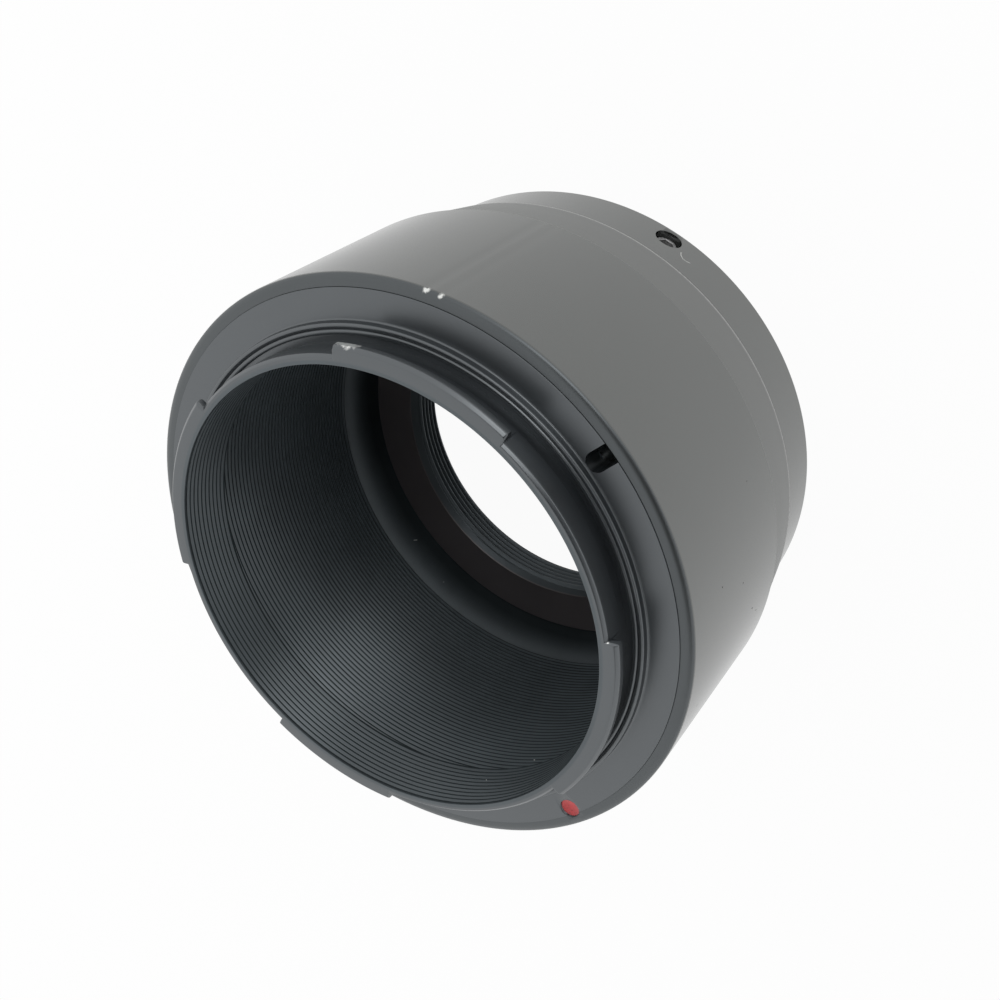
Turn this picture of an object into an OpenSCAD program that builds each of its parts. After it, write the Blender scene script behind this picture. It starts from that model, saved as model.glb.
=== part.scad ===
// Lens adapter for a mirrorless camera.
// One end is a four-lug bayonet that turns into the camera's throat, the other end is a ring
// with a fine internal thread that takes a lens or a telescope.
// The part stands on its rear (thread) face: Z is the optical axis and the bayonet is on top.
// Angles are counted from +X towards +Y, and the index dot lies on +Y.

/* [Register] */
// Distance from the camera's flange face down to the rear face that the lens seats on
register_len = 39; // [34:0.5:46]

/* [Bayonet mount] */
// How far the throat's wall stands in from the barrel's ribbed bore
throat_in = 2.65; // [2.4:0.05:3.2]
// Wall of the neck between the throat and its outside
neck_wall = 1.05; // [0.8:0.05:1.6]
// Height of the front rim above the flange face
rim_h = 4.9; // [4.5:0.1:6]
// Bevel on the rim's outer edge
rim_bevel = 0.3; // [0.1:0.05:0.4]
// How deep the relief round the neck's foot is turned in
relief_depth = 0.25; // [0.1:0.05:0.3]
// Height of the relief's upper edge above the flange face
relief_h = 1.9; // [1.2:0.1:2.4]
// Radial gap between the neck and the raised locating collar
collar_gap = 0.5; // [0.3:0.05:0.8]
// Radial width of the locating collar
collar_w = 1.2; // [0.8:0.05:1.8]
// Height of the locating collar above the flange face
collar_h = 0.9; // [0.6:0.05:1.2]
// How deep the gap beside the neck goes below the collar's top
collar_gap_depth = 0.35; // [0.1:0.05:0.6]
// Depth and half width of the fine groove along the middle of the collar
collar_groove = 0.15; // [0.1:0.05:0.2]
// Thickness of the mount's flange
flange_t = 2.5; // [2:0.1:4]
// Radial width of the seat under the flange
seat_w = 3.4; // [3:0.1:4]
// How far the throat's ribbed wall reaches below the flange face
throat_drop = 1.7; // [0.5:0.1:2]
// Height of the plain land between the rim and the throat's first groove
rim_land = 0.3; // [0.15:0.05:0.6]
// Bevel on the fine edges of the mount
mount_bevel = 0.15; // [0.05:0.05:0.2]

/* [Lugs] */
// How far the lugs stand out from the neck
lug_reach = 1; // [0.7:0.05:1.4]
// Thickness of a lug along the axis
lug_t = 1.1; // [0.8:0.1:1.6]
// Bevel on the front outer edge of a lug
lug_bevel = 0.35; // [0.1:0.05:0.4]
// Angle where each lug starts
lug_starts = [15.2, 101.5, 194.4, 280.5];
// Angle that each lug covers
lug_widths = [33.7, 46, 41.2, 47.5];

/* [Lock notch and index dot] */
// Angle of the notch that the camera's lock pin drops into
notch_angle = 180; // [160:1:200]
// Width of the lock notch
notch_w = 2.2; // [1.6:0.1:3]
// Radial length of the notch, from the flange's outer edge to its round closed end
notch_len = 3.1; // [2.4:0.1:3.2]
// Angle of the index dot
dot_angle = 90; // [70:1:100]
// How far the dot's centre lies inside the flange's outer edge
dot_inset = 0.7; // [0:0.1:1.8]
// Diameter of the dot
dot_d = 2.4; // [1.5:0.1:2.8]
// Depth of the drilled dimple below the flange face
dot_depth = 0.6; // [0.4:0.05:0.9]
// Thickness of the enamel in the dimple
enamel_t = 0.3; // [0.1:0.05:0.4]
// Gap between the enamel and the dimple's wall
enamel_gap = 0.02; // [0.01:0.01:0.05]

/* [Barrel outside] */
// Radial gap between the mount's flange and the barrel's counterbore
mount_gap = 0.05; // [0.02:0.01:0.1]
// Radial width of the barrel's lip round the mount's flange
lip_w = 1.35; // [1:0.05:3]
// How far the barrel's front end lies below the flange face
front_drop = 0.3; // [0.1:0.05:0.8]
// Bevel on the barrel's front edge
front_bevel = 0.35; // [0.1:0.05:0.5]
// Height of the edge where the cylinder ends and the taper starts
taper_top_z = 16.5; // [14:0.5:20]
// Height of the edge where the taper ends
taper_foot_z = 8.7; // [8:0.1:11]
// How far the taper leads in
taper_in = 1.4; // [0.8:0.1:1.8]
// Bevel on the edge above the taper
taper_bevel = 0.2; // [0.1:0.05:0.4]
// How far the rear band lies inside the taper's foot
rear_step = 0.9; // [0.4:0.1:1.2]
// Bevel on the rear edge
rear_bevel = 0.3; // [0.1:0.05:0.5]

/* [Barrel inside] */
// Spacing of the baffle ribs
rib_pitch = 0.615; // [0.5:0.005:1]
// Depth of the grooves between the baffle ribs
rib_depth = 0.35; // [0.15:0.05:0.6]
// Depth of the grooves in the throat
throat_rib_depth = 0.3; // [0.1:0.05:0.45]
// Height where the ribs end and the smooth bore starts
rib_foot_z = 10.9; // [8:0.1:16]

/* [Threaded ring] */
// Diameter across the crests of the lens thread
thread_d = 41.2; // [40:0.1:42]
// Radial width of the ring between the thread and its outside
ring_w = 3.65; // [3:0.05:4.5]
// Height of the threaded ring
ring_h = 5.4; // [5.2:0.1:6.5]
// Thickness of the ring's inner flange, which sits on the barrel's floor
ring_flange_t = 1.2; // [0.8:0.1:1.2]
// How far the inner flange reaches out over the barrel's floor
ring_flange_reach = 2.4; // [1.6:0.1:3.4]
// Radial gap between the inner flange and the barrel's bore
ring_flange_gap = 1.5; // [0.5:0.1:2.5]
// Radial running gap between the ring and the barrel's rear bore
ring_gap = 0.05; // [0.02:0.01:0.1]
// Lead-in bevel of the thread at the rear face
thread_lead = 0.9; // [0.4:0.1:1.2]
// Bevel of the thread at the ring's front face
thread_bevel = 1; // [0.2:0.1:1.4]
// Depth of the V groove that the screw points sit in
vee_depth = 0.8; // [0.4:0.1:1]

/* [Grub screws] */
// Diameter of the grub screws
screw_d = 3; // [2:0.1:3.2]
// Radial gap between a screw and its hole
screw_gap = 0.05; // [0.02:0.01:0.1]
// Height of the screws above the rear face
screw_z = 2.45; // [2.2:0.05:2.6]
// Angle of the first screw
screw_angle = 205; // [190:1:220]
// Number of screws round the ring
screw_count = 3; // [2:1:4]
// How far the screws are sunk below the rear band's surface
screw_sink = 0.85; // [0.4:0.05:1.5]
// Gap between a screw's point and the bottom of the V groove
point_gap = 0.15; // [0.1:0.05:0.3]
// Size of the hexagon socket across its flats
socket_af = 1.5; // [0.9:0.1:1.6]
// Depth of the hexagon socket
socket_depth = 1.3; // [0.8:0.1:2]

/* [Hidden] */
$fn = 144;

// Overshoot of a cutting shape past the face it cuts
cut = 1;

flange_z = register_len;
front_z = flange_z - front_drop;
seat_z = flange_z - flange_t;
rim_z = flange_z + rim_h;
collar_z = flange_z + collar_h;
throat_foot_z = flange_z - throat_drop;
floor_z = ring_h - ring_flange_t;

// Radii, from the thread outwards and then in from the baffle and from the barrel's outside
thread_r = thread_d / 2;
ring_r = thread_r + ring_w;
vee_r = ring_r - vee_depth;
ring_bore_r = ring_r + ring_gap;
ring_flange_r = ring_bore_r + ring_flange_reach;
baffle_r = ring_flange_r + ring_flange_gap;
throat_r = baffle_r - throat_in;
neck_r = throat_r + neck_wall;
relief_r = neck_r - relief_depth;
lug_r = neck_r + lug_reach;
// The lugs are rooted in the neck, inside the bevel of its rim
lug_root_r = neck_r - rim_bevel - mount_bevel;
collar_inner_r = neck_r + collar_gap;
collar_r = collar_inner_r + collar_w;
groove_r = collar_inner_r + collar_w / 2;
mount_r = baffle_r + seat_w;
counterbore_r = mount_r + mount_gap;
barrel_r = counterbore_r + lip_w;
taper_foot_r = barrel_r - taper_in;
rear_r = taper_foot_r - rear_step;
notch_r = mount_r - notch_len;
dot_r = mount_r - dot_inset;
screw_r = screw_d / 2;
hole_r = screw_r + screw_gap;
point_r = vee_r + point_gap;

rib_count = floor((seat_z - rib_foot_z) / rib_pitch);
rib_top_z = rib_foot_z + rib_count * rib_pitch;
throat_rib_top_z = rim_z - rim_land;
throat_rib_count = floor((throat_rib_top_z - throat_foot_z) / rib_pitch);

// Crest and root points of a stack of V grooves cut outwards from radius r, from top_z downwards
function grooves(r, top_z, count, depth) = [
    for (i = [0 : count - 1]) each [
        [r, top_z - i * rib_pitch],
        [r + depth, top_z - (i + 0.5) * rib_pitch]
    ]
];

// Section of the barrel: up the outside, down through the counterbore and the ribbed bore
function barrel_section() = concat(
    [
        [ring_bore_r, 0],
        [rear_r - rear_bevel, 0],
        [rear_r, rear_bevel],
        [rear_r, taper_foot_z - rear_step],
        [taper_foot_r, taper_foot_z],
        [barrel_r - taper_bevel, taper_top_z],
        [barrel_r, taper_top_z + taper_bevel],
        [barrel_r, front_z - front_bevel],
        [barrel_r - front_bevel, front_z],
        [counterbore_r, front_z],
        [counterbore_r, seat_z],
        [baffle_r, seat_z]
    ],
    grooves(baffle_r, rib_top_z, rib_count, rib_depth),
    [
        [baffle_r, rib_foot_z],
        [baffle_r, floor_z],
        [ring_bore_r, floor_z]
    ]
);

// Section of the mount: flange, collar with its groove, relieved neck, rim and ribbed throat
function mount_section() = concat(
    [
        [baffle_r, seat_z],
        [mount_r, seat_z],
        [mount_r, flange_z - mount_bevel],
        [mount_r - mount_bevel, flange_z],
        [collar_r, flange_z],
        [collar_r, collar_z - mount_bevel],
        [collar_r - mount_bevel, collar_z],
        [groove_r + collar_groove, collar_z],
        [groove_r, collar_z - collar_groove],
        [groove_r - collar_groove, collar_z],
        [collar_inner_r + mount_bevel, collar_z],
        [collar_inner_r, collar_z - mount_bevel],
        [collar_inner_r, collar_z - collar_gap_depth],
        [relief_r, collar_z - collar_gap_depth],
        [relief_r, flange_z + relief_h],
        [neck_r, flange_z + relief_h + relief_depth],
        [neck_r, rim_z - rim_bevel],
        [neck_r - rim_bevel, rim_z],
        [throat_r + mount_bevel, rim_z]
    ],
    grooves(throat_r, throat_rib_top_z, throat_rib_count, throat_rib_depth),
    [
        [throat_r, throat_rib_top_z - throat_rib_count * rib_pitch],
        [throat_r, throat_foot_z]
    ]
);

// Section of the threaded ring: thread bore, inner flange and V groove for the screw points
function ring_section() = [
    [thread_r + thread_lead, 0],
    [ring_r, 0],
    [ring_r, screw_z - vee_depth],
    [vee_r, screw_z],
    [ring_r, screw_z + vee_depth],
    [ring_r, floor_z],
    [ring_flange_r, floor_z],
    [ring_flange_r, ring_h],
    [thread_r + thread_bevel, ring_h],
    [thread_r, ring_h - thread_bevel],
    [thread_r, thread_lead]
];

// Copies of the children at each grub screw, with their own Z pointing outwards along the radius
module at_screws() {
    for (i = [0 : screw_count - 1])
        rotate([0, 0, screw_angle + i * 360 / screw_count])
            translate([0, 0, screw_z])
                rotate([0, 90, 0])
                    children();
}

// The drilled dimple of the index dot, which runs across the joint of mount and barrel
module dot_hole() {
    rotate([0, 0, dot_angle])
        translate([dot_r, 0, flange_z - dot_depth])
            cylinder(d = dot_d, h = dot_depth + cut);
}

module barrel() {
    color([0.2, 0.21, 0.21])
    difference() {
        rotate_extrude() polygon(barrel_section());
        at_screws()
            cylinder(r = hole_r, h = rear_r + cut);
        dot_hole();
    }
}

// One bayonet lug with its bevelled front edge, rooted in the neck
module lug(start, width) {
    rotate([0, 0, start])
        rotate_extrude(angle = width)
            polygon([
                [lug_root_r, rim_z - lug_t],
                [lug_r, rim_z - lug_t],
                [lug_r, rim_z - lug_bevel],
                [lug_r - lug_bevel, rim_z],
                [lug_root_r, rim_z]
            ]);
}

// The notch for the lock pin, open towards the barrel and round at its inner end
module lock_notch() {
    rotate([0, 0, notch_angle])
        translate([notch_r + notch_w / 2, 0, seat_z - cut]) {
            cylinder(d = notch_w, h = flange_t + 2 * cut);
            translate([0, -notch_w / 2, 0])
                cube([notch_len + cut, notch_w, flange_t + 2 * cut]);
        }
}

module bayonet_mount() {
    color([0.24, 0.25, 0.27])
    difference() {
        union() {
            rotate_extrude() polygon(mount_section());
            for (i = [0 : len(lug_starts) - 1])
                lug(lug_starts[i], lug_widths[i]);
        }
        lock_notch();
        dot_hole();
    }
}

// The enamel that fills the bottom of the dimple
module index_dot() {
    color([0.85, 0.1, 0.12])
    rotate([0, 0, dot_angle])
        translate([dot_r, 0, flange_z - dot_depth])
            cylinder(r = dot_d / 2 - enamel_gap, h = enamel_t);
}

module t2_ring() {
    color([0.16, 0.16, 0.17])
    rotate_extrude() polygon(ring_section());
}

// A headless screw with a cone point at its inner end and a hexagon socket at its outer end
module grub_screw() {
    head_r = rear_r - screw_sink;
    difference() {
        union() {
            translate([0, 0, point_r])
                cylinder(r1 = 0, r2 = screw_r, h = screw_r);
            translate([0, 0, point_r + screw_r])
                cylinder(r = screw_r, h = head_r - point_r - screw_r);
        }
        translate([0, 0, head_r - socket_depth])
            cylinder(d = socket_af / cos(30), h = socket_depth + cut, $fn = 6);
    }
}

module grub_screws() {
    color([0.3, 0.3, 0.31])
    at_screws() grub_screw();
}

barrel();
bayonet_mount();
index_dot();
t2_ring();
grub_screws();
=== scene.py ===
"""Looks of a lens adapter: a black anodised barrel with a ribbed light baffle, a four-lug bayonet mount,
a threaded ring at the far end, grub screws and a red index dot. Lengths in the tables are millimetres."""
import math

import bmesh
import bpy
import numpy as np
from mathutils import Matrix, Vector


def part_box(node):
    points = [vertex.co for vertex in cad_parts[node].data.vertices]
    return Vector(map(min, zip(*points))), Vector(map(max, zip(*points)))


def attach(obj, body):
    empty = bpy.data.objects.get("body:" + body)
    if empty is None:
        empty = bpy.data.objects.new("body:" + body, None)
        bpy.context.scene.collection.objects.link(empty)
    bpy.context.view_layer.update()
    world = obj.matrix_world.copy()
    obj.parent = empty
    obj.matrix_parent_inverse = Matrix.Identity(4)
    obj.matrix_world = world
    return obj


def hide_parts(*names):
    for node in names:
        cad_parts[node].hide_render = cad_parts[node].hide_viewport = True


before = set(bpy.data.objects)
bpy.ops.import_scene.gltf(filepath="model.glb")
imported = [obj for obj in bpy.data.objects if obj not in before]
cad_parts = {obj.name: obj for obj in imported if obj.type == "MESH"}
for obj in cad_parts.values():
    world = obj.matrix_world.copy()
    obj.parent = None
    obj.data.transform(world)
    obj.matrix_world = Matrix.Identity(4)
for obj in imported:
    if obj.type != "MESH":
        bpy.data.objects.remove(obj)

MM = 0.001
TURN = 2 * math.pi
AXIS = np.array([0, 0, 1.0])

# Edges that turn more than this many degrees stay crisp
SHARP_ANGLE = 32.0

# Sizes read from the solids. The flange face stands a little over the barrel's solid.
BARREL_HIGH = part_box("barrel")[1]
BARREL_R = BARREL_HIGH.x / MM
FRONT_Z = BARREL_HIGH.z / MM
FLANGE_Z = FRONT_Z + 0.3
RIM_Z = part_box("bayonet_mount")[1].z / MM
SEAT_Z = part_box("bayonet_mount")[0].z / MM
RING_TOP_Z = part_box("t2_ring")[1].z / MM

# V grooves of the baffle and the throat
RIB_PITCH = 0.615
RIB_DEPTH = 0.35
RIB_CREST = 0.14
RIB_ROOT = 0.04

# Barrel. The lip's rounding reaches further over the top than down the side.
LIP_Z = FLANGE_Z - 0.04
LIP_ROUNDING = (0.55, 1.3)
BARREL_SEGMENTS = 432
TAPER_TOP_Z = 16.5
TAPER_FOOT_Z = 8.7
TAPER_FOOT_R = 31.6
TAPER_BREAK = 0.2
REAR_R = 30.7
REAR_BREAK = 0.3
BAFFLE_R = 28.2
BAFFLE_FOOT_Z = 10.9
FLOOR_Z = 4.2
RING_BORE_R = 24.3
RING_BORE_BREAK = 0.15

# Knocks on the barrel's front edge: angle, height, half width along the edge and depth. Each is pushed in and
# down by this share of its depth.
EDGE_KNOCKS = ((-138.3, 38.55, 0.45, 0.16), (-141.2, 38.55, 0.4, 0.13))
KNOCK_SHARE = 0.6

# Bayonet mount
MOUNT_SEGMENTS = 720
MOUNT_R = 31.6
MOUNT_GAP = 0.012
THROAT_R = 25.55
THROAT_DROP = 1.7
RIM_LAND = 0.3
NECK_R = 26.6
RELIEF_R = 26.35
RELIEF_TOP_Z = FLANGE_Z + 1.9
RELIEF_FOOT_Z = FLANGE_Z + 0.55
COLLAR_INNER_R = 27.1
COLLAR_R = 28.3
COLLAR_Z = FLANGE_Z + 0.9
COLLAR_GROOVE_R = 27.7
COLLAR_GROOVE_HALF = 0.15
COLLAR_GROOVE_DEPTH = 0.22
RIM_BEVEL = 0.3
LUG_R = 27.6
LUG_BEVEL = 0.35
LUG_END_BEVEL = 0.12
LUG_END_SHARE = 0.88
LUG_END_WALL = 0.15
LUG_THICKNESS = 1.1
# Start angle and width of each lug in degrees
LUG_ARCS = ((15.2, 33.7), (101.5, 46.0), (194.4, 41.2), (280.5, 47.5))
NOTCH_ANGLE = 180.5
NOTCH_WIDTH = 2.1
NOTCH_END_R = 28.5

# Index dot
DOT_ANGLE = 90.4
DOT_CENTRE_R = 30.9
DOT_R = 1.1
DOT_DEPTH = 0.6
DOT_GAP = 0.02
ENAMEL_EDGE = 0.34
ENAMEL_SAG = 0.22

# Threaded ring
RING_SEGMENTS = 432
ROWS_PER_THREAD = 12
RING_R = 24.25
RING_FLANGE_R = 26.7
THREAD_CREST_R = 20.6
THREAD_ROOT_R = 21.02
THREAD_PITCH = 0.75
THREAD_LEAD = 0.9
THREAD_BEVEL = 1.0
VEE_DEPTH = 0.8

# Grub screws
SCREW_ANGLES = (205.0, 325.0, 85.0)
SCREW_Z = 2.45
SCREW_R = 1.5
SCREW_HOLE_R = 1.6
SCREW_HOLE_BEVEL = 0.5
SCREW_TOP_R = REAR_R - 0.7
SCREW_POINT_R = RING_R - VEE_DEPTH + 0.15
SOCKET_FLAT_R = 0.85
SOCKET_DEPTH = 1.3
SCREW_PITCH = 0.5
SCREW_THREAD_DEPTH = 0.3


def direction(angle):
    """Unit vector in the plane of the flange at that angle in degrees."""
    a = math.radians(angle)
    return np.array([math.cos(a), math.sin(a), 0.0])


def on(angle, r, z):
    """The point at that angle in degrees, distance from the axis and height."""
    point = direction(angle) * r
    point[2] = z
    return point


def rounded_section(corners, steps=4):
    """Closed section line through (radius, height, rounding) corners. A corner with a rounding t is replaced
    by the parabola whose ends lie t before and t after it: (1-s)^2 A + 2s(1-s) P + s^2 B for s from 0 to 1.
    A pair (t, u) puts the ends t before and u after it."""
    points = []
    count = len(corners)
    for i, (r, z, t) in enumerate(corners):
        here = np.array([r, z], float)
        if t == 0:
            points.append(here)
            continue
        before = np.array(corners[i - 1][:2], float) - here
        after = np.array(corners[(i + 1) % count][:2], float) - here
        ahead, behind = t if isinstance(t, tuple) else (t, t)
        a = here + before / np.linalg.norm(before) * ahead
        b = here + after / np.linalg.norm(after) * behind
        for s in np.linspace(0, 1, steps + 1):
            points.append((1 - s) ** 2 * a + 2 * s * (1 - s) * here + s * s * b)
    return np.array(points)


def grooved_wall(r, top_z, count):
    """Corners of a wall of V grooves, from top_z downwards. Each pitch has a flat crest at radius r and a
    narrow root at radius r + depth."""
    corners = []
    for i in range(count):
        z = top_z - i * RIB_PITCH
        middle = z - RIB_PITCH / 2
        corners.append((r, z - RIB_CREST / 2, 0))
        corners.append((r + RIB_DEPTH, middle + RIB_ROOT / 2, 0))
        corners.append((r + RIB_DEPTH, middle - RIB_ROOT / 2, 0))
        corners.append((r, z - RIB_PITCH + RIB_CREST / 2, 0))
    return corners


def mesh_object(name, vertices, faces):
    """An object at the origin whose mesh has those vertices, given in millimetres, and those faces."""
    mesh = bpy.data.meshes.new(name)
    mesh.from_pydata((np.asarray(vertices) * MM).tolist(), [], [list(f) for f in faces])
    mesh.validate()
    piece = bpy.data.objects.new(name, mesh)
    bpy.context.scene.collection.objects.link(piece)
    finish_shading(piece)
    return piece


def finish_shading(piece):
    """Smooth shading, with the sharp edges kept crisp and the wide faces kept flat."""
    piece.data.shade_smooth()
    piece.data.set_sharp_from_angle(angle=math.radians(SHARP_ANGLE))
    if not piece.modifiers:
        flat = piece.modifiers.new("flat_faces", "WEIGHTED_NORMAL")
        flat.keep_sharp = True


def grid_faces(rows, columns, close_rows, close_columns):
    """Quads of a grid of rows x columns vertices, counted row by row, closed on itself where asked."""
    i = np.arange(rows if close_rows else rows - 1)
    j = np.arange(columns if close_columns else columns - 1)
    i, j = np.meshgrid(i, j, indexing="ij")
    i2 = (i + 1) % rows
    j2 = (j + 1) % columns
    quads = np.stack([i * columns + j, i * columns + j2, i2 * columns + j2, i2 * columns + j], -1)
    return quads.reshape(-1, 4)


def ring_shell(name, angles, r, z, warp=None):
    """Closed ring on a grid: vertex (i, j) = (r_ij cos a_j, r_ij sin a_j, z_ij). Its section runs
    anticlockwise in (r, z), so the faces point outwards. warp moves the points if given."""
    points = np.stack([r * np.cos(angles), r * np.sin(angles), z], -1)
    if warp is not None:
        points = warp(points)
    faces = grid_faces(*r.shape, True, True)
    return mesh_object(name, points.reshape(-1, 3), faces)


def turned(name, section, segments, warp=None):
    """Ring turned about the axis: r_ij = r_i, z_ij = z_i and a_j = 2 pi j / segments."""
    angles = np.arange(segments) / segments * TURN
    r = np.repeat(section[:, :1], segments, 1)
    z = np.repeat(section[:, 1:], segments, 1)
    return ring_shell(name, angles, r, z, warp)


def cut_out(piece, tool):
    """Cuts tool out of piece and leaves a plain mesh; tool is used up."""
    piece.modifiers.clear()
    step = piece.modifiers.new("step", "BOOLEAN")
    step.operation = "DIFFERENCE"
    step.solver = "MANIFOLD"
    step.object = tool
    bpy.context.view_layer.update()
    graph = bpy.context.evaluated_depsgraph_get()
    result = bpy.data.meshes.new_from_object(piece.evaluated_get(graph))
    piece.modifiers.clear()
    old = piece.data
    piece.data = result
    result.name = piece.name
    bpy.data.meshes.remove(old)
    bpy.data.objects.remove(tool)
    finish_shading(piece)


def rod(name, radii, heights, segments, origin, axis):
    """Solid about an axis through origin: rings of the given radii at the given heights, with a pole point at
    each end. The radii are one number a ring, or one a point."""
    axis = np.asarray(axis, float)
    side = np.cross(axis, AXIS)
    if np.linalg.norm(side) < 1e-6:
        side = np.array([1.0, 0, 0])
    side /= np.linalg.norm(side)
    other = np.cross(axis, side)
    a = np.arange(segments) / segments * TURN
    ring = np.cos(a)[:, None] * side + np.sin(a)[:, None] * other
    radii = np.asarray(radii, float)
    if radii.ndim == 1:
        radii = np.repeat(radii[:, None], segments, 1)
    heights = np.asarray(heights, float)
    points = origin + radii[:, :, None] * ring[None] + heights[:, None, None] * axis
    rows = len(heights)
    foot = origin + heights[0] * axis
    top = origin + heights[-1] * axis
    points = np.vstack([points.reshape(-1, 3), foot, top])
    faces = [list(f) for f in grid_faces(rows, segments, False, True)]
    last = (rows - 1) * segments
    for j in range(segments):
        k = (j + 1) % segments
        faces.append([rows * segments, k, j])
        faces.append([rows * segments + 1, last + j, last + k])
    return mesh_object(name, points, faces)


def barrel_body():
    """The barrel: outside with taper and rear band, counterbore, ribbed bore, floor and rear bore, then the
    three screw holes and its share of the index dimple. The lip round the mount rises a little above the
    solid's, so that it blends into the flange."""
    rib_count = int((SEAT_Z - BAFFLE_FOOT_Z) / RIB_PITCH)
    rib_top = BAFFLE_FOOT_Z + rib_count * RIB_PITCH
    foot_step = TAPER_FOOT_R - REAR_R
    corners = [
        (RING_BORE_R + RING_BORE_BREAK, 0, 0),
        (REAR_R - REAR_BREAK, 0, 0.06),
        (REAR_R, REAR_BREAK, 0.06),
        (REAR_R, TAPER_FOOT_Z - foot_step, 0.08),
        (TAPER_FOOT_R, TAPER_FOOT_Z, 0.08),
        (BARREL_R - TAPER_BREAK, TAPER_TOP_Z, 0.04),
        (BARREL_R, TAPER_TOP_Z + TAPER_BREAK, 0.04),
        (BARREL_R, LIP_Z, LIP_ROUNDING),
        (MOUNT_R + MOUNT_GAP, LIP_Z - 0.04, 0.04),
        (MOUNT_R + MOUNT_GAP, SEAT_Z, 0),
        (BAFFLE_R, SEAT_Z, 0),
    ]
    corners += grooved_wall(BAFFLE_R, rib_top, rib_count)
    corners += [
        (BAFFLE_R + 0.05, BAFFLE_FOOT_Z - 0.12, 0.04),
        (BAFFLE_R, FLOOR_Z, 0),
        (RING_BORE_R, FLOOR_Z, 0),
        (RING_BORE_R, RING_BORE_BREAK, 0),
    ]
    piece = turned("barrel_body", rounded_section(corners), BARREL_SEGMENTS, knock_edge)
    mouth = math.sqrt(REAR_R ** 2 - SCREW_HOLE_R ** 2) - 0.02
    for angle in SCREW_ANGLES:
        radii = [SCREW_HOLE_R, SCREW_HOLE_R, SCREW_HOLE_R + SCREW_HOLE_BEVEL]
        heights = [20, mouth, mouth + SCREW_HOLE_BEVEL]
        hole = rod("hole", radii, heights, 64, np.array([0, 0, SCREW_Z]), direction(angle))
        cut_out(piece, hole)
    cut_out(piece, dimple_cutter())
    return piece


def knock_edge(points):
    """Presses small dents into the front edge: each moves the points near it inwards and down by
    depth * exp(-(d / width)^2), with d the distance from the knock."""
    for angle, height, width, depth in EDGE_KNOCKS:
        d = np.linalg.norm(points - on(angle, BARREL_R, height), axis=-1)
        push = depth * np.exp(-((d / width) ** 2))
        inward = -direction(angle) * KNOCK_SHARE
        inward[2] = -KNOCK_SHARE
        points = points + push[..., None] * inward
    return points


def dimple_cutter():
    """The drill that makes the index dimple across the joint of mount and barrel."""
    origin = on(DOT_ANGLE, DOT_CENTRE_R, FLANGE_Z - DOT_DEPTH)
    radii = [DOT_R, DOT_R, DOT_R + 0.3]
    heights = [0, DOT_DEPTH - 0.06, DOT_DEPTH + 0.24]
    return rod("drill", radii, heights, 72, origin, AXIS)


def mount_section(rim):
    """Section of the mount with those corners at its rim: flange, collar with its fine groove, relief, neck,
    rim and ribbed throat."""
    rib_top = RIM_Z - RIM_LAND
    rib_count = int((rib_top - FLANGE_Z + THROAT_DROP) / RIB_PITCH)
    corners = [
        (BAFFLE_R, SEAT_Z, 0),
        (MOUNT_R, SEAT_Z, 0),
        (MOUNT_R, FLANGE_Z, 0.03),
        (MOUNT_R - 0.12, FLANGE_Z, 0),
        (COLLAR_R + 0.32, FLANGE_Z, 0),
        (COLLAR_R, FLANGE_Z, 0.2),
        (COLLAR_R, COLLAR_Z, 0.25),
        (COLLAR_GROOVE_R + COLLAR_GROOVE_HALF, COLLAR_Z, 0.12),
        (COLLAR_GROOVE_R, COLLAR_Z - COLLAR_GROOVE_DEPTH, 0),
        (COLLAR_GROOVE_R - COLLAR_GROOVE_HALF, COLLAR_Z, 0.12),
        (COLLAR_INNER_R, COLLAR_Z, 0.22),
        (COLLAR_INNER_R, RELIEF_FOOT_Z, 0),
        (RELIEF_R, RELIEF_FOOT_Z, 0),
        (RELIEF_R, RELIEF_TOP_Z, 0),
        (NECK_R, RELIEF_TOP_Z + 0.1, 0.04),
    ]
    corners += rim
    corners.append((THROAT_R + 0.05, RIM_Z, 0.05))
    corners += grooved_wall(THROAT_R, rib_top, rib_count)
    corners.append((THROAT_R, FLANGE_Z - THROAT_DROP, 0.05))
    return rounded_section(corners)


def lug_columns():
    """Angles of the mount's grid columns in radians, and how far each one is out on a lug: 0 off the lugs,
    1 on them, and LUG_END_SHARE at the two ends, which leaves a small bevel there."""
    columns = {}
    for start, width in LUG_ARCS:
        bevel = math.degrees(LUG_END_BEVEL / LUG_R)
        for end, way in ((start, 1), (start + width, -1)):
            for offset, share in ((-LUG_END_WALL, 0.0), (0.0, LUG_END_SHARE), (bevel, 1.0)):
                columns[end + way * offset] = share
    ends = np.array(sorted(columns))
    for angle in np.arange(MOUNT_SEGMENTS) * 360 / MOUNT_SEGMENTS:
        if np.abs(ends - angle).min() > 0.1:
            columns[angle] = float(any(start < angle < start + width for start, width in LUG_ARCS))
    angles = np.array(sorted(columns))
    return np.radians(angles), np.array([columns[angle] for angle in angles])


def mount_ring():
    """The bayonet mount. Its section is carried round the axis and is a mix of two, with s the share of a lug
    at that angle: (1 - s) * plain neck + s * neck with lug. Then come the lock notch and the index dimple."""
    foot = RIM_Z - LUG_THICKNESS
    neck = mount_section([
        (NECK_R, foot, 0),
        (NECK_R, foot + 0.3, 0.08),
        (NECK_R, RIM_Z - RIM_BEVEL, 0.08),
        (NECK_R - RIM_BEVEL, RIM_Z, 0.08),
    ])
    lug = mount_section([
        (NECK_R, foot, 0),
        (LUG_R, foot, 0.08),
        (LUG_R, RIM_Z - LUG_BEVEL, 0.1),
        (LUG_R - LUG_BEVEL, RIM_Z, 0.1),
    ])
    angles, share = lug_columns()
    r, z = ((1 - share) * neck[:, [k]] + share * lug[:, [k]] for k in (0, 1))
    piece = ring_shell("mount_ring", angles, r, z)
    cut_out(piece, notch_cutter())
    cut_out(piece, dimple_cutter())
    return piece


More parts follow.
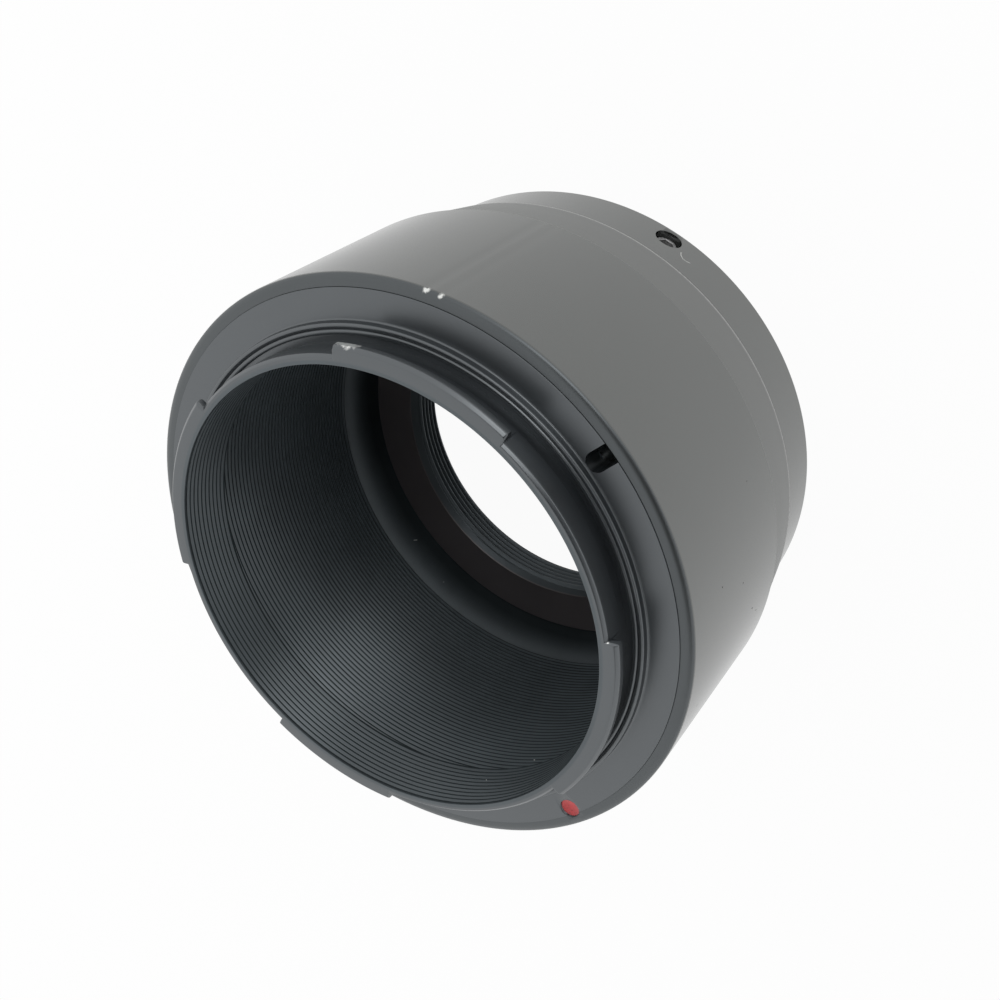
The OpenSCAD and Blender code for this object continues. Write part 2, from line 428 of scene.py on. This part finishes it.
def outward(piece):
    """piece with its doubled points merged and all faces of the closed shell turned outwards."""
    shell = bmesh.new()
    shell.from_mesh(piece.data)
    bmesh.ops.remove_doubles(shell, verts=shell.verts, dist=1e-7)
    bmesh.ops.recalc_face_normals(shell, faces=shell.faces)
    shell.to_mesh(piece.data)
    shell.free()
    return piece


def notch_cutter():
    """The U-shaped end mill that cuts the lock notch through the mount's flange from its outer edge:
    a half circle at the inner end and straight sides to beyond the edge."""
    half = NOTCH_WIDTH / 2
    turn = np.linspace(math.pi / 2, 3 * math.pi / 2, 33)
    centre = NOTCH_END_R + half
    x = np.concatenate([[MOUNT_R + 1], centre + half * np.cos(turn), [MOUNT_R + 1]])
    y = np.concatenate([[half], half * np.sin(turn), [-half]])
    a = math.radians(NOTCH_ANGLE)
    px = x * math.cos(a) - y * math.sin(a)
    py = x * math.sin(a) + y * math.cos(a)
    heights = (SEAT_Z - 1, FLANGE_Z + 1)
    points = np.concatenate([np.stack([px, py, np.full_like(px, h)], -1) for h in heights])
    n = len(x)
    faces = [[k, (k + 1) % n, n + (k + 1) % n, n + k] for k in range(n)]
    faces.append(list(range(n))[::-1])
    faces.append([n + k for k in range(n)])
    return outward(mesh_object("mill", points, faces))


def thread_radius(phase):
    """Radius of the lens thread at that part of a pitch, 0 to 1: a 60 degree V with a flat crest and root."""
    flat = 1 / 8
    tri = np.abs(2 * (phase % 1.0) - 1)
    ramp = np.clip((tri - flat) / (1 - 2 * flat), 0, 1)
    return THREAD_CREST_R + (THREAD_ROOT_R - THREAD_CREST_R) * ramp


def threaded_ring():
    """The threaded ring. Its bore is a helix on a grid: row i and column j lie at height
    z = s_i + pitch * j / segments, held between the two faces, with the radius of the thread at s_i,
    opened by the bevel at each end. The outside is a plain turned section that meets it at both faces."""
    segments = RING_SEGMENTS
    rows_above = int(math.ceil(RING_TOP_Z / THREAD_PITCH)) * ROWS_PER_THREAD
    i = np.arange(-ROWS_PER_THREAD, rows_above + 1)
    j = np.arange(segments + 1)
    s = i / ROWS_PER_THREAD * THREAD_PITCH
    z = np.clip(s[:, None] + THREAD_PITCH * j[None, :] / segments, 0, RING_TOP_Z)
    cut = thread_radius((z - THREAD_PITCH * j[None, :] / segments) / THREAD_PITCH)
    lead = THREAD_CREST_R + THREAD_LEAD - z
    bevel = THREAD_CREST_R + THREAD_BEVEL - (RING_TOP_Z - z)
    r = np.maximum(cut, np.maximum(lead, bevel))
    a = j / segments * TURN
    bore = np.stack([r * np.cos(a), r * np.sin(a), z], -1)
    bore_faces = grid_faces(len(i), segments + 1, False, False)[:, ::-1]

    corners = [
        (THREAD_CREST_R + THREAD_LEAD, 0, 0),
        (RING_R, 0, 0.08),
        (RING_R, SCREW_Z - VEE_DEPTH, 0),
        (RING_R - VEE_DEPTH, SCREW_Z, 0),
        (RING_R, SCREW_Z + VEE_DEPTH, 0),
        (RING_R, FLOOR_Z, 0),
        (RING_FLANGE_R, FLOOR_Z, 0),
        (RING_FLANGE_R, RING_TOP_Z, 0),
        (THREAD_CREST_R + THREAD_BEVEL, RING_TOP_Z, 0),
    ]
    section = rounded_section(corners)
    b = np.arange(segments) / segments * TURN
    r, z = section[:, :1], section[:, 1:]
    outside = np.stack([r * np.cos(b), r * np.sin(b), z + 0 * b], -1)
    outside_faces = grid_faces(len(section), segments, False, True) + bore.shape[0] * bore.shape[1]
    points = np.concatenate([bore.reshape(-1, 3), outside.reshape(-1, 3)])
    faces = np.concatenate([bore_faces, outside_faces])
    piece = outward(mesh_object("threaded_ring", points, faces))
    finish_shading(piece)
    return piece


def grub_screw(name, angle):
    """One headless screw, lying along the radius at that angle: cone point, thread, chamfered end and a
    hexagon socket, whose radius at angle a is flat / cos((a mod 60) - 30)."""
    segments = 72
    a = np.arange(segments) / segments * 360
    hexagon = SOCKET_FLAT_R / np.cos(np.radians((a % 60) - 30))
    core = SCREW_R - SCREW_THREAD_DEPTH
    full = np.ones(segments)
    rows = [full * 0.02, full * core]
    heights = [SCREW_POINT_R, SCREW_POINT_R + core]
    turns = int((SCREW_TOP_R - 0.35 - heights[-1]) / SCREW_PITCH)
    for k in range(turns):
        base = SCREW_POINT_R + core + k * SCREW_PITCH
        rows += [full * core, full * SCREW_R, full * SCREW_R]
        heights += [base + 0.06, base + 0.22, base + 0.3]
    rows += [full * SCREW_R, full * (SCREW_R - 0.28), hexagon + 0.06, hexagon, hexagon * 0.98, full * 0.02]
    heights += [SCREW_TOP_R - 0.25, SCREW_TOP_R, SCREW_TOP_R, SCREW_TOP_R - 0.06,
                SCREW_TOP_R - SOCKET_DEPTH, SCREW_TOP_R - SOCKET_DEPTH - 0.3]
    origin = np.array([0, 0, SCREW_Z])
    return outward(rod(name, np.array(rows), heights, segments, origin, direction(angle)))


def enamel_dot():
    """The enamel in the dimple. It dried hollow and climbs at the wall: its height over the dimple's floor is
    edge - sag * (1 - (d / radius)^2), with d the distance from the dot's centre."""
    radius = DOT_R - DOT_GAP
    shares = np.linspace(1, 0.05, 14)
    radii = [radius] + [radius * s for s in shares]
    heights = [0.0] + [ENAMEL_EDGE - ENAMEL_SAG * (1 - s * s) for s in shares]
    origin = on(DOT_ANGLE, DOT_CENTRE_R, FLANGE_Z - DOT_DEPTH)
    return rod("enamel_dot", radii, heights, 72, origin, AXIS)


# The dyed oxide over the metal reflects as a solid of this refractive index
OXIDE_IOR = 2.15

# Colours of bare metal, of the pale line painted along an edge as its highlight, of dust and of a dull pit's
# reflection
BARE_METAL = (0.75, 0.76, 0.74)
PAINTED_EDGE_HIGHLIGHT = (0.5, 0.5, 0.49)
DUST_COLOUR = (0.6, 0.6, 0.58)
PIT_TINT = (0.3, 0.3, 0.3)

# Scales of the noises, in waves a metre: turning lines, blasted grain, clouds of the dye and ragged edges
LINE_SCALE = 9000.0
GRAIN_SCALE = 7000.0
CLOUD_SCALE = 90.0
RAGGED_SCALE = 2500.0

# Clouds make a colour this much darker and lighter
DARKER = 0.8
LIGHTER = 1.2


def trail(r, half, *places):
    """Marks along the line through those (angle, height) places at distance r from the axis."""
    points = [on(angle, r, z) for angle, z in places]
    return [(start, end, half) for start, end in zip(points, points[1:])]


# Marks of use, each (start, end, half width) of a short line. Wear is bare metal: the knocks on the barrel's
# edge and a rubbed lug end. Pits are dull, and dust is pale, with a fine fibre beside a screw hole.
BARREL_WEAR = [
    (on(-138.3, BARREL_R - 0.25, FRONT_Z - 0.05), on(-138.5, BARREL_R - 0.2, FRONT_Z - 0.1), 0.36),
    (on(-141.2, BARREL_R - 0.2, FRONT_Z - 0.05), on(-141.3, BARREL_R - 0.2, FRONT_Z - 0.1), 0.33),
]
BARREL_PITS = [
    *trail(BARREL_R, 0.1, (126.3, 34.9), (126.5, 34.8)),
    *trail(BARREL_R, 0.1, (148.2, 31.75), (148.2, 31.7)),
    *trail(BARREL_R, 0.1, (143.8, 26.5), (143.9, 26.4)),
    *trail(BARREL_R, 0.1, (134.7, 22.8), (134.6, 22.6)),
    *trail(BARREL_R, 0.1, (132.3, 21.0), (132.2, 20.8)),
    *trail(BARREL_R, 0.08, (160.1, 22.3), (160.1, 22.2)),
]
BARREL_DUST = [
    *trail(REAR_R, 0.06, (200.95, 3.45), (200.5, 3.95), (199.6, 4.35), (198.7, 4.3), (198.0, 4.05)),
    *trail(BAFFLE_R, 0.09, (62.3, 29.6), (62.5, 29.8)),
    *trail(BAFFLE_R, 0.08, (65.0, 32.6), (65.2, 32.7)),
    *trail(BAFFLE_R, 0.1, (74.4, 31.8), (74.6, 31.9)),
    *trail(BAFFLE_R, 0.07, (1.8, 7.2), (2.3, 6.7)),
    *trail(BAFFLE_R, 0.06, (16.0, 8.3), (16.2, 8.2)),
    *trail(BAFFLE_R, 0.06, (40.0, 9.2), (40.2, 9.3)),
]
MOUNT_WEAR = [
    *trail(LUG_R, 0.6, (235.2, RIM_Z - 0.9), (234.3, RIM_Z - 0.9)),
    *trail(LUG_R, 0.75, (233.0, RIM_Z - 0.8), (231.4, RIM_Z - 0.8)),
    (on(147.4, NECK_R - 0.1, RIM_Z - 0.1), on(147.6, NECK_R, RIM_Z - 0.2), 0.15),
]
MOUNT_DUST = trail(THROAT_R, 0.07, (72.6, 39.4), (72.8, 39.5))


class Nodes:
    """Short way to write a material's node tree."""

    def __init__(self, name):
        self.material = bpy.data.materials.new(name)
        self.material.use_nodes = True
        self.tree = self.material.node_tree
        self.shader = self.tree.nodes["Principled BSDF"]
        self.place = self.add("ShaderNodeTexCoord").outputs["Object"]

    def add(self, kind, **settings):
        node = self.tree.nodes.new(kind)
        for key, value in settings.items():
            setattr(node, key, value)
        return node

    def link(self, out, into):
        self.tree.links.new(out, into)

    def math(self, operation, a, b=None, clamp=False):
        """A number worked out from numbers or sockets."""
        node = self.add("ShaderNodeMath", operation=operation, use_clamp=clamp)
        for socket, value in zip(node.inputs, (a, b)):
            if value is None:
                continue
            if isinstance(value, (int, float)):
                socket.default_value = value
            else:
                self.link(value, socket)
        return node.outputs[0]

    def vector(self, operation, a, b=None, out="Vector"):
        """A vector, or its Value, worked out from vectors or sockets."""
        node = self.add("ShaderNodeVectorMath", operation=operation)
        for socket, value in zip(node.inputs, (a, b)):
            if value is None:
                continue
            if isinstance(value, (tuple, list, np.ndarray)):
                socket.default_value = tuple(float(v) for v in value)
            else:
                self.link(value, socket)
        return node.outputs[out]

    def noise(self, vector, scale, detail=2.0, roughness=0.5):
        node = self.add("ShaderNodeTexNoise")
        node.inputs["Scale"].default_value = scale
        node.inputs["Detail"].default_value = detail
        node.inputs["Roughness"].default_value = roughness
        self.link(vector, node.inputs["Vector"])
        return node.outputs["Fac"]

    def span(self, value, low, high, to_low, to_high):
        """value carried from the range low to high onto to_low to to_high, and held at its ends."""
        node = self.add("ShaderNodeMapRange")
        for socket, v in zip(list(node.inputs)[1:5], (low, high, to_low, to_high)):
            socket.default_value = v
        self.link(value, node.inputs["Value"])
        return node.outputs["Result"]

    def mix(self, share, a, b):
        """The colour a + share * (b - a)."""
        node = self.add("ShaderNodeMix", data_type="RGBA")
        self.link(share, node.inputs["Factor"])
        for socket, value in ((node.inputs[6], a), (node.inputs[7], b)):
            if isinstance(value, (tuple, list)):
                socket.default_value = (*value, 1.0)
            else:
                self.link(value, socket)
        return node.outputs[2]

    def bump(self, height):
        """Raises the surface by that height, in millimetres."""
        node = self.add("ShaderNodeBump")
        node.inputs["Strength"].default_value = 1.0
        node.inputs["Distance"].default_value = MM
        self.link(height, node.inputs["Height"])
        self.link(node.outputs[0], self.shader.inputs["Normal"])


def times(colour, factor):
    """The colour with each of its values multiplied by factor."""
    return tuple(factor * v for v in colour)


def marked(n, marks, ragged):
    """1 on the marks and 0 off them, by the distance from each mark's line and with a ragged edge."""
    found = None
    for start, end, half in marks:
        start = np.asarray(start) * MM
        along = np.asarray(end) * MM - start
        offset = n.vector("SUBTRACT", n.place, start)
        reached = n.vector("DOT_PRODUCT", offset, along / (along @ along), out="Value")
        foot = n.vector("MULTIPLY", n.math("ADD", reached, 0.0, clamp=True), along)
        gap = n.vector("DISTANCE", offset, foot, out="Value")
        shaped = n.math("ADD", gap, n.span(ragged, 0.3, 0.7, -0.35 * half * MM, 0.35 * half * MM))
        inside = n.span(shaped, half * MM * 0.4, half * MM, 1.0, 0.0)
        found = inside if found is None else n.math("MAXIMUM", found, inside)
    return found


def blend(n, share, a, b):
    """a + share * (b - a)."""
    if isinstance(a, (int, float)):
        return n.span(share, 0.0, 1.0, a, b)
    kept = n.math("MULTIPLY", n.span(share, 0.0, 1.0, 1.0, 0.0), a)
    return n.math("ADD", kept, n.math("MULTIPLY", share, b))


def anodised(name, finishes, grain, lines, bands=(), edges=(), wear=(), pits=(), dust=()):
    """Black anodised aluminium with a fine blasted grain and faint turning lines, which are a noise of
    (distance from the axis, height) only. Each finish is (outer radius, tint of the reflection, dye,
    roughness), from the axis outwards. Each band (lower height, upper height, roughness, tint)
    changes the outermost finish there, and along each edge (radius, height, half width, share) a
    pale line is painted, a painted highlight."""
    n = Nodes(name)
    flat = n.vector("MULTIPLY", n.place, (1, 1, 0))
    distance = n.vector("LENGTH", flat, out="Value")
    height = n.add("ShaderNodeSeparateXYZ")
    n.link(n.place, height.inputs[0])
    height = height.outputs[2]
    section = n.add("ShaderNodeCombineXYZ")
    n.link(distance, section.inputs[0])
    n.link(height, section.inputs[1])
    line = n.noise(section.outputs[0], LINE_SCALE, 3.0, 0.6)
    fine = n.noise(n.place, GRAIN_SCALE, 2.0, 0.6)
    cloud = n.noise(n.place, CLOUD_SCALE, 4.0, 0.55)
    ragged = n.noise(n.place, RAGGED_SCALE, 2.0, 0.6)
    shade = n.span(cloud, 0.3, 0.7, 0.0, 1.0)
    reach, tint, dye, rough = finishes[0]
    deep = times(dye, DARKER)
    light = times(dye, LIGHTER)
    for next_reach, next_tint, next_dye, next_rough in finishes[1:]:
        outside = n.span(distance, (reach - 0.02) * MM, (reach + 0.02) * MM, 0.0, 1.0)
        tint = n.mix(outside, tint, next_tint)
        deep = n.mix(outside, deep, times(next_dye, DARKER))
        light = n.mix(outside, light, times(next_dye, LIGHTER))
        rough = blend(n, outside, rough, next_rough)
        reach = next_reach
    tone = n.mix(shade, deep, light)
    for low, high, own, own_tint in bands:
        above = n.span(height, (low - 0.05) * MM, (low + 0.05) * MM, 0.0, 1.0)
        below = n.span(height, (high - 0.05) * MM, (high + 0.05) * MM, 1.0, 0.0)
        between = n.math("MULTIPLY", above, below)
        within = n.math("MULTIPLY", between, outside)
        rough = blend(n, within, rough, own)
        tint = n.mix(within, tint, own_tint)
    rough = n.math("ADD", rough, n.span(line, 0.3, 0.7, -0.03, 0.03))
    n.bump(n.math("ADD", n.math("MULTIPLY", line, lines), n.math("MULTIPLY", fine, grain)))
    # Painted highlight: a pale line along each given edge, cut up by the ragged noise
    for r, z, half, share in edges:
        gap = n.vector("DISTANCE", section.outputs[0], (r * MM, z * MM, 0), out="Value")
        near = n.span(gap, half * 0.6 * MM, half * MM, share, 0.0)
        highlit = n.math("MULTIPLY", near, n.span(ragged, 0.25, 0.6, 0.5, 1.0))
        tone = n.mix(highlit, tone, PAINTED_EDGE_HIGHLIGHT)
    if pits:
        pitted = marked(n, pits, ragged)
        tint = n.mix(pitted, tint, PIT_TINT)
        rough = n.math("MAXIMUM", rough, pitted)
    if dust:
        tone = n.mix(marked(n, dust, ragged), tone, DUST_COLOUR)
    if wear:
        worn = marked(n, wear, ragged)
        tone = n.mix(worn, tone, BARE_METAL)
        rough = n.math("MAXIMUM", rough, n.math("MULTIPLY", worn, 0.4))
        n.link(worn, n.shader.inputs["Metallic"])
    n.link(tone, n.shader.inputs["Base Color"])
    n.link(tint, n.shader.inputs["Specular Tint"])
    n.link(rough, n.shader.inputs["Roughness"])
    n.shader.inputs["IOR"].default_value = OXIDE_IOR
    return n.material


def plain(name, colour, roughness, metallic=0.0, coat=0.0, grain=0.0, scale=3000.0):
    """A finish of one colour, a fifth lighter and darker in small clouds, with a grain of that height."""
    n = Nodes(name)
    cloud = n.noise(n.place, scale, 3.0, 0.6)
    shade = n.span(cloud, 0.3, 0.7, 0.0, 1.0)
    tone = n.mix(shade, times(colour, DARKER), times(colour, LIGHTER))
    n.link(tone, n.shader.inputs["Base Color"])
    rough = n.span(cloud, 0.3, 0.7, roughness - 0.05, roughness + 0.05)
    n.link(rough, n.shader.inputs["Roughness"])
    n.shader.inputs["Metallic"].default_value = metallic
    n.shader.inputs["Coat Weight"].default_value = coat
    if grain:
        n.bump(n.math("MULTIPLY", n.noise(n.place, 2 * scale, 2.0, 0.6), grain))
    return n.material


def white_seen(material_or_world, lit, share):
    """Mixes what is lit with pure white wherever the camera, a reflection or glass looks at it."""
    tree = material_or_world.node_tree
    nodes, links = tree.nodes, tree.links
    path = nodes.new("ShaderNodeLightPath")
    either = None
    for ray in ("Is Camera Ray", "Is Glossy Ray", "Is Transmission Ray"):
        if either is None:
            either = path.outputs[ray]
            continue
        add = nodes.new("ShaderNodeMath")
        add.operation = "MAXIMUM"
        links.new(either, add.inputs[0])
        links.new(path.outputs[ray], add.inputs[1])
        either = add.outputs[0]
    scaled = nodes.new("ShaderNodeMath")
    scaled.operation = "MULTIPLY"
    scaled.inputs[1].default_value = share
    links.new(either, scaled.inputs[0])
    is_material = material_or_world.id_type == "MATERIAL"
    white = nodes.new("ShaderNodeEmission" if is_material else "ShaderNodeBackground")
    white.inputs["Color"].default_value = (1, 1, 1, 1)
    white.inputs["Strength"].default_value = 1.0
    mix = nodes.new("ShaderNodeMixShader")
    links.new(scaled.outputs[0], mix.inputs[0])
    links.new(lit.outputs[0], mix.inputs[1])
    links.new(white.outputs[0], mix.inputs[2])
    for node in nodes:
        if node.type in ("OUTPUT_MATERIAL", "OUTPUT_WORLD"):
            links.new(mix.outputs[0], node.inputs["Surface"])


def soft_lamp(name, toward, power, size, distance=0.6):
    """A square soft lamp that shines on the part from that direction."""
    lamp = bpy.data.lights.new(name, "AREA")
    lamp.energy = power
    lamp.size = size
    holder = bpy.data.objects.new(name, lamp)
    bpy.context.scene.collection.objects.link(holder)
    toward = Vector(toward).normalized()
    centre = Vector((0, 0, 0.02))
    holder.location = centre + toward * distance
    holder.rotation_euler = toward.to_track_quat("Z", "Y").to_euler()
    return holder


# The photograph's camera, found from the outlines of the part: place, and its right and up directions
CAMERA_PLACE = (-99.7, -12.8, 131.2)
CAMERA_RIGHT = Vector((-0.6457, 0.5706, -0.5072))
CAMERA_UP = Vector((-0.3789, -0.8162, -0.4361))
CAMERA_LENS = 46.4

# The dark body behind the lens, in the camera's own millimetres: left, right, lower and upper edge, and
# how far behind the lens it stands
CAMERA_BODY = (-60.0, 80.0, -260.0, 12.0)
CAMERA_BODY_BACK = 5.0


def camera_body(up, back):
    """A dark plate just behind the lens, which the part reflects in place of the bright room."""
    right = up.cross(back)
    left_edge, right_edge, foot, top = CAMERA_BODY
    middle = Vector(CAMERA_PLACE) + back * CAMERA_BODY_BACK
    places = ((left_edge, foot), (right_edge, foot), (right_edge, top), (left_edge, top))
    corners = [tuple(middle + right * x + up * y) for x, y in places]
    plate = mesh_object("camera_body", corners, [(0, 1, 2, 3)])
    plate.data.materials.append(plain("camera_black", (0.04, 0.04, 0.045), 0.6))
    plate.visible_camera = False
    return plate


def set_camera():
    """Places the camera and returns its up direction and the direction behind it."""
    right = CAMERA_RIGHT.normalized()
    up = (CAMERA_UP - right * CAMERA_UP.dot(right)).normalized()
    back = right.cross(up)
    view = bpy.data.cameras.new("camera")
    view.lens = CAMERA_LENS
    view.sensor_width = 36.0
    view.clip_start = 0.005
    holder = bpy.data.objects.new("camera", view)
    bpy.context.scene.collection.objects.link(holder)
    turn = Matrix((right, up, back)).transposed().to_4x4()
    holder.matrix_world = Matrix.Translation(Vector(CAMERA_PLACE) * MM) @ turn
    bpy.context.scene.camera = holder
    return up, back


def dress(piece, body, slot, material, *nodes):
    """Gives the piece its material, ties it to its body and hides the nodes it replaces. The slot is not
    used.
    """
    piece.data.materials.clear()
    piece.data.materials.append(material)
    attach(piece, body)
    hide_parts(*nodes)


# The stage: strength of the room's light, the white table's half width, height and share of white, and
# the lamp's direction, power and size
ROOM_LIGHT = 0.8
TABLE_REACH = 1500.0
TABLE_Z = -0.1
TABLE_WHITE = 0.95
KEY_TOWARD = (-0.76, -0.3, 0.58)
KEY_POWER = 0.6
KEY_SIZE = 0.3

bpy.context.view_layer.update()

up, back = set_camera()
bpy.context.scene.view_settings.view_transform = "Standard"

world = bpy.data.worlds.new("studio")
bpy.context.scene.world = world
world.use_nodes = True
air = world.node_tree.nodes["Background"]
air.inputs["Color"].default_value = (1, 1, 1, 1)
air.inputs["Strength"].default_value = ROOM_LIGHT
white_seen(world, air, 1.0)

floor_paint = bpy.data.materials.new("floor")
floor_paint.use_nodes = True
floor_shader = floor_paint.node_tree.nodes["Principled BSDF"]
floor_shader.inputs["Base Color"].default_value = (1.0, 1.0, 1.0, 1)
floor_shader.inputs["Roughness"].default_value = 0.9
white_seen(floor_paint, floor_shader, TABLE_WHITE)
# The table isn't sampled as a lamp, because its mirror image would then be darker along its diagonal
floor_paint.cycles.emission_sampling = "NONE"
signs = ((-1, -1), (1, -1), (1, 1), (-1, 1))
floor = mesh_object("floor", [(x * TABLE_REACH, y * TABLE_REACH, TABLE_Z) for x, y in signs], [(0, 1, 2, 3)])
floor.data.materials.append(floor_paint)

key = soft_lamp("key", KEY_TOWARD, KEY_POWER, KEY_SIZE)
camera_body(up, back)

# Finishes: tint of the reflection, dye and roughness. Inside the bores the finish comes as a lit and a shaded
# copy:
# the groove flanks are painted lighter, as painted light, and the lands between the grooves and the smooth
# band below them are painted darker and duller, as painted shade.
BARREL_FINISH = ((0.97, 1.0, 0.98), (0.012, 0.013, 0.012), 0.17)
MOUNT_FINISH = ((0.9, 0.96, 1.0), (0.012, 0.014, 0.016), 0.33)
RING_FINISH = ((0.8, 0.74, 0.76), (0.05, 0.044, 0.045), 0.4)
SHADED_LAND_FINISH = ((0.1, 0.12, 0.13), (0.03, 0.037, 0.04), 0.85)
LIT_GROOVE_FINISH = ((0.5, 0.55, 0.58), (0.095, 0.113, 0.122), 0.33)
LIT_THROAT_FINISH = ((0.5, 0.55, 0.58), (0.055, 0.066, 0.072), 0.36)
# The thread in the ring's bore reflects about half as much as the ring's face: painted shade
SHADED_THREAD_FINISH = ((0.36, 0.41, 0.44), (0.055, 0.063, 0.067), 0.36)
TAPER_ROUGHNESS = 0.42
# The lip's rounding reflects with a darker tint than the barrel: painted shade that blends the lip into the
# flange
LIP_SHADE_TINT = (0.7, 0.76, 0.8)
LIP_ROUGHNESS = 0.38

# How far outside a bore's radius the painted shade of its lands reaches, and how far the painted light of its
# grooves does
SHADED_LAND_REACH = 0.03
LIT_GROOVE_REACH = RIB_DEPTH + 0.1

barrel_black = anodised(
    "barrel_black",
    # Painted shade on the lands and the smooth band, painted light on the groove flanks
    [(BAFFLE_R + SHADED_LAND_REACH, *SHADED_LAND_FINISH),
     (BAFFLE_R + LIT_GROOVE_REACH, *LIT_GROOVE_FINISH),
     (BARREL_R, *BARREL_FINISH)],
    grain=0.003, lines=0.0015,
    # The second band paints the darker reflection on the lip as shade
    bands=[(TAPER_FOOT_Z, TAPER_TOP_Z, TAPER_ROUGHNESS, BARREL_FINISH[0]),
           (LIP_Z - LIP_ROUNDING[0] * 0.7, LIP_Z + 1, LIP_ROUGHNESS, LIP_SHADE_TINT)],
    # The two edges of the taper get a pale line painted along them, a painted highlight of their rounding
    edges=[(TAPER_FOOT_R, TAPER_FOOT_Z, 0.38, 0.5), (BARREL_R, TAPER_TOP_Z + TAPER_BREAK / 2, 0.12, 0.2)],
    wear=BARREL_WEAR, pits=BARREL_PITS, dust=BARREL_DUST)
mount_black = anodised(
    "mount_black",
    # Painted shade on the throat's lands, painted light on its groove flanks
    [(THROAT_R + SHADED_LAND_REACH, *SHADED_LAND_FINISH),
     (THROAT_R + LIT_GROOVE_REACH, *LIT_THROAT_FINISH),
     (MOUNT_R, *MOUNT_FINISH)],
    grain=0.0015, lines=0.002, wear=MOUNT_WEAR, dust=MOUNT_DUST)
ring_black = anodised(
    "ring_black",
    # The thread gets the darker finish, painted shade in the bore
    [(THREAD_CREST_R + THREAD_LEAD, *SHADED_THREAD_FINISH), (RING_FLANGE_R, *RING_FINISH)],
    grain=0.002, lines=0.001)
screw_steel = plain("screw_steel", (0.3, 0.3, 0.3), 0.35, metallic=0.6, grain=0.004)
dot_red = plain("dot_red", (0.75, 0.03, 0.035), 0.3, coat=0.4, grain=0.01, scale=1200.0)

dress(barrel_body(), "barrel", "anodised_barrel", barrel_black, "barrel")
dress(mount_ring(), "barrel", "anodised_mount", mount_black, "bayonet_mount")
dress(threaded_ring(), "t2_ring", "anodised_ring", ring_black, "t2_ring")
dress(enamel_dot(), "barrel", "red_enamel", dot_red, "index_dot")
for number, screw_angle in enumerate(SCREW_ANGLES, 1):
    dress(grub_screw(f"grub_screw_{number}", screw_angle), "barrel", "blackened_steel", screw_steel,
          "grub_screws")
